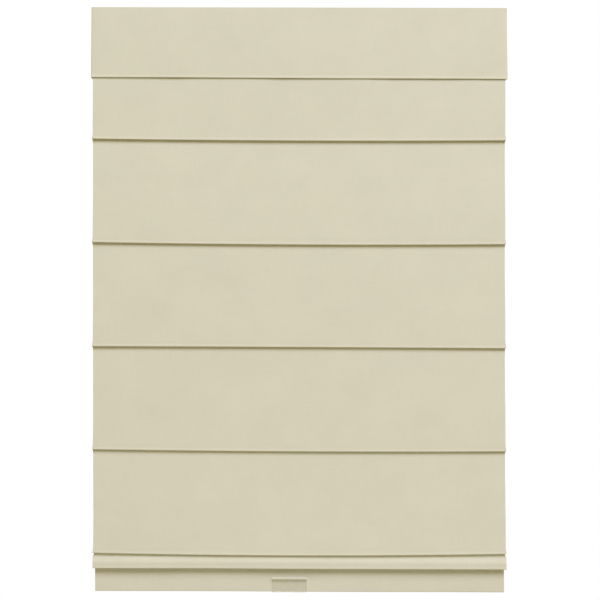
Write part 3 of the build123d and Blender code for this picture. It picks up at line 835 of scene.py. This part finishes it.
def cord_piece(name, bm):
    """Turns a finished cord mesh, round but for its flat ends, into a piece."""
    bmesh.ops.recalc_face_normals(bm, faces=bm.faces)
    for face in bm.faces:
        face.smooth = len(face.verts) == 4
    return new_piece(name, bm, braid, "headrail_assembly")


for place in PLACES:
    low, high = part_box(f"cord_exit_{place}")
    x = (low.x + high.x) / 2
    bm = bmesh.new()
    bmesh.ops.create_circle(bm, radius=cord_r, segments=12, cap_ends=True)
    bmesh.ops.translate(bm, verts=bm.verts, vec=(x, cord_y, shaft_z))
    bmesh.ops.spin(bm, geom=bm.faces[:] + bm.edges[:] + bm.verts[:], cent=(x, shaft_y, shaft_z),
                   axis=(1, 0, 0), angle=wound_angle, steps=40)
    wound = cord_piece(f"lift_cord_{place}_wound", bm)
    bm = bmesh.new()
    bmesh.ops.create_cone(bm, cap_ends=True, segments=12, radius1=cord_r, radius2=cord_r,
                          depth=cord_drop)
    bmesh.ops.translate(bm, verts=bm.verts, vec=(x, cord_y, (shaft_z + cord_end_z) / 2))
    hanging = cord_piece(f"lift_cord_{place}_hanging", bm)
    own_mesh(hanging)
    for piece in (wound, hanging):
        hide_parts(f"lift_cord_{place}")
print("each cord hangs", round(cord_drop, 3), "m, with", round(winding_r * wound_angle, 3), "m wound")

# %% [markdown]
# The hidden parts are what a maker would use: a channel of sheet steel baked white, zinc-plated
# brackets and shaft, off-white moulded plastic, a fibreglass rod in each fold, and an extruded
# aluminium bar in the hem. Each finish has its own grain, worked out from the piece's own place in
# space, so that it stays put on the piece.

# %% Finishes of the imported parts
def baked_paint():
    material = new_material("baked_paint", (0.80, 0.79, 0.74), 0.35, Coat_Weight=0.2)
    peel = noise(material, stretched(material), 350.0, 2.0)
    emboss(material, peel, 0.06 * MM)
    tint(material, (0.76, 0.75, 0.70), (0.82, 0.81, 0.76), peel)
    return material


def bright_zinc():
    material = new_material("bright_zinc", (0.62, 0.64, 0.66), 0.36, Metallic=1.0)
    spangle = cells(material, 320.0).outputs["Color"]
    grey = node(material, "RGBToBW", {"Color": spangle}).outputs["Val"]
    tint(material, (0.52, 0.54, 0.57), (0.72, 0.73, 0.74), grey)
    vary_roughness(material, grey, 0.28, 0.48)
    return material


def moulded_plastic():
    material = new_material("moulded_plastic", (0.80, 0.79, 0.75), 0.45)
    grain = noise(material, stretched(material), 900.0, 3.0)
    emboss(material, grain, 0.05 * MM)
    tint(material, (0.76, 0.75, 0.70), (0.83, 0.82, 0.78), grain)
    return material


def hook_tape():
    material = new_material("hook_tape", (0.78, 0.77, 0.72), 0.95, Sheen_Weight=0.3)
    hooks = cells(material, 900.0).outputs["Distance"]
    emboss(material, hooks, 0.4 * MM)
    tint(material, (0.60, 0.59, 0.54), (0.84, 0.83, 0.79), hooks)
    return material


def sheet_plastic():
    material = new_material("sheet_plastic", (0.82, 0.81, 0.77), 0.4)
    haze = noise(material, stretched(material), 60.0, 3.0)
    vary_roughness(material, haze, 0.32, 0.5)
    tint(material, (0.79, 0.78, 0.74), (0.84, 0.83, 0.80), haze)
    return material


def spring_steel():
    material = new_material("spring_steel", (0.36, 0.39, 0.44), 0.3, Metallic=1.0)
    brush = noise(material, stretched(material, (900, 30, 30)), 1.0, 2.0)
    vary_roughness(material, brush, 0.22, 0.42)
    tint(material, (0.30, 0.33, 0.40), (0.42, 0.44, 0.47), brush)
    return material


def fibreglass_rod():
    material = new_material("fibreglass_rod", (0.78, 0.78, 0.72), 0.28)
    fibres = noise(material, stretched(material, (6, 1400, 1400)), 1.0, 2.0)
    emboss(material, fibres, 0.03 * MM)
    tint(material, (0.70, 0.71, 0.64), (0.83, 0.83, 0.78), fibres)
    return material


def extruded_bar():
    material = new_material("extruded_bar", (0.74, 0.75, 0.76), 0.34, Metallic=1.0)
    lines = noise(material, stretched(material, (3, 1200, 1200)), 1.0, 3.0)
    emboss(material, lines, 0.02 * MM)
    tint(material, (0.66, 0.67, 0.68), (0.80, 0.81, 0.82), lines)
    vary_roughness(material, lines, 0.26, 0.44)
    return material


tab_low, tab_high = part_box("pull_tab")
ledge_depth = 5.5 * MM
rim_width = 2.5 * MM
ledge_density = 0.50
rim_density = 0.40


def clear_plastic():
    """Clear plastic: see-through where it is thin, and milky along its ledge and at its edges."""
    material = new_material("clear_plastic", (0.86, 0.83, 0.74), 0.2)
    flow = noise(material, stretched(material, (20, 20, 420)), 1.0, 2.0)
    emboss(material, flow, 0.06 * MM)
    vary_roughness(material, flow, 0.14, 0.28)
    edge = node(material, "LayerWeight", {"Blend": 0.35}).outputs["Facing"]
    at_edge = node(material, "MapRange", {
        "Value": edge, "From Min": 0.25, "From Max": 0.9, "To Min": 0.04, "To Max": 0.9})
    place = node(material, "SeparateXYZ", {0: node(material, "TexCoord").outputs["Object"]})
    ledge = maths(material, "LESS_THAN", place.outputs["Y"], tab_low.y + ledge_depth)
    off_middle = maths(material, "SUBTRACT", place.outputs["X"], (tab_low.x + tab_high.x) / 2)
    rim = maths(material, "GREATER_THAN", maths(material, "ABSOLUTE", off_middle),
                (tab_high.x - tab_low.x) / 2 - rim_width)
    milky = maths(material, "MAXIMUM", maths(material, "MULTIPLY", ledge, ledge_density),
                  maths(material, "MULTIPLY", rim, rim_density))
    density = maths(material, "MAXIMUM", at_edge.outputs["Result"], milky)
    tree = material.node_tree
    tree.links.new(density, tree.nodes["Principled BSDF"].inputs["Alpha"])
    return material


finishes = {
    "steel": baked_paint(), "zinc": bright_zinc(), "moulding": moulded_plastic(), "tape": hook_tape(),
    "stiffener": sheet_plastic(), "spring": spring_steel(), "rod": fibreglass_rod(),
    "bar": extruded_bar(), "clear": clear_plastic(), "cloth": shade_weave, "cord": braid,
}
for part in frame["record"]["subparts"]:
    mesh = frame["nodes"][part["node"]].data
    mesh.materials.clear()
    mesh.materials.append(finishes[part["material_slot"]])

# %% [markdown]
# The blind needs something to hang above. A pale round floor lies well below it, as a room's floor
# does, and stays out of the front view. It isn't part of the blind, so it is marked as stage.

# %% Floor
floor_drop = 0.9
floor_radius = 1.35
bm = bmesh.new()
bmesh.ops.create_circle(bm, cap_ends=True, segments=96, radius=floor_radius)
bmesh.ops.translate(bm, verts=bm.verts, vec=(0, 0, cad_low.z - floor_drop))
floor = new_object("floor", bm, new_material("pale_floor", (0.66, 0.63, 0.57), 0.8))
floor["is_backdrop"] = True
print("the floor lies", floor_drop, "m below the blind")

# %% [markdown]
# Last, the box of the finished blind is printed, to set against the imported model's box printed at
# the start and show how far the cloth stands proud of it.

# %% Finish
low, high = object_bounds()
print("finished box:", [round(v, 4) for v in low], [round(v, 4) for v in high])
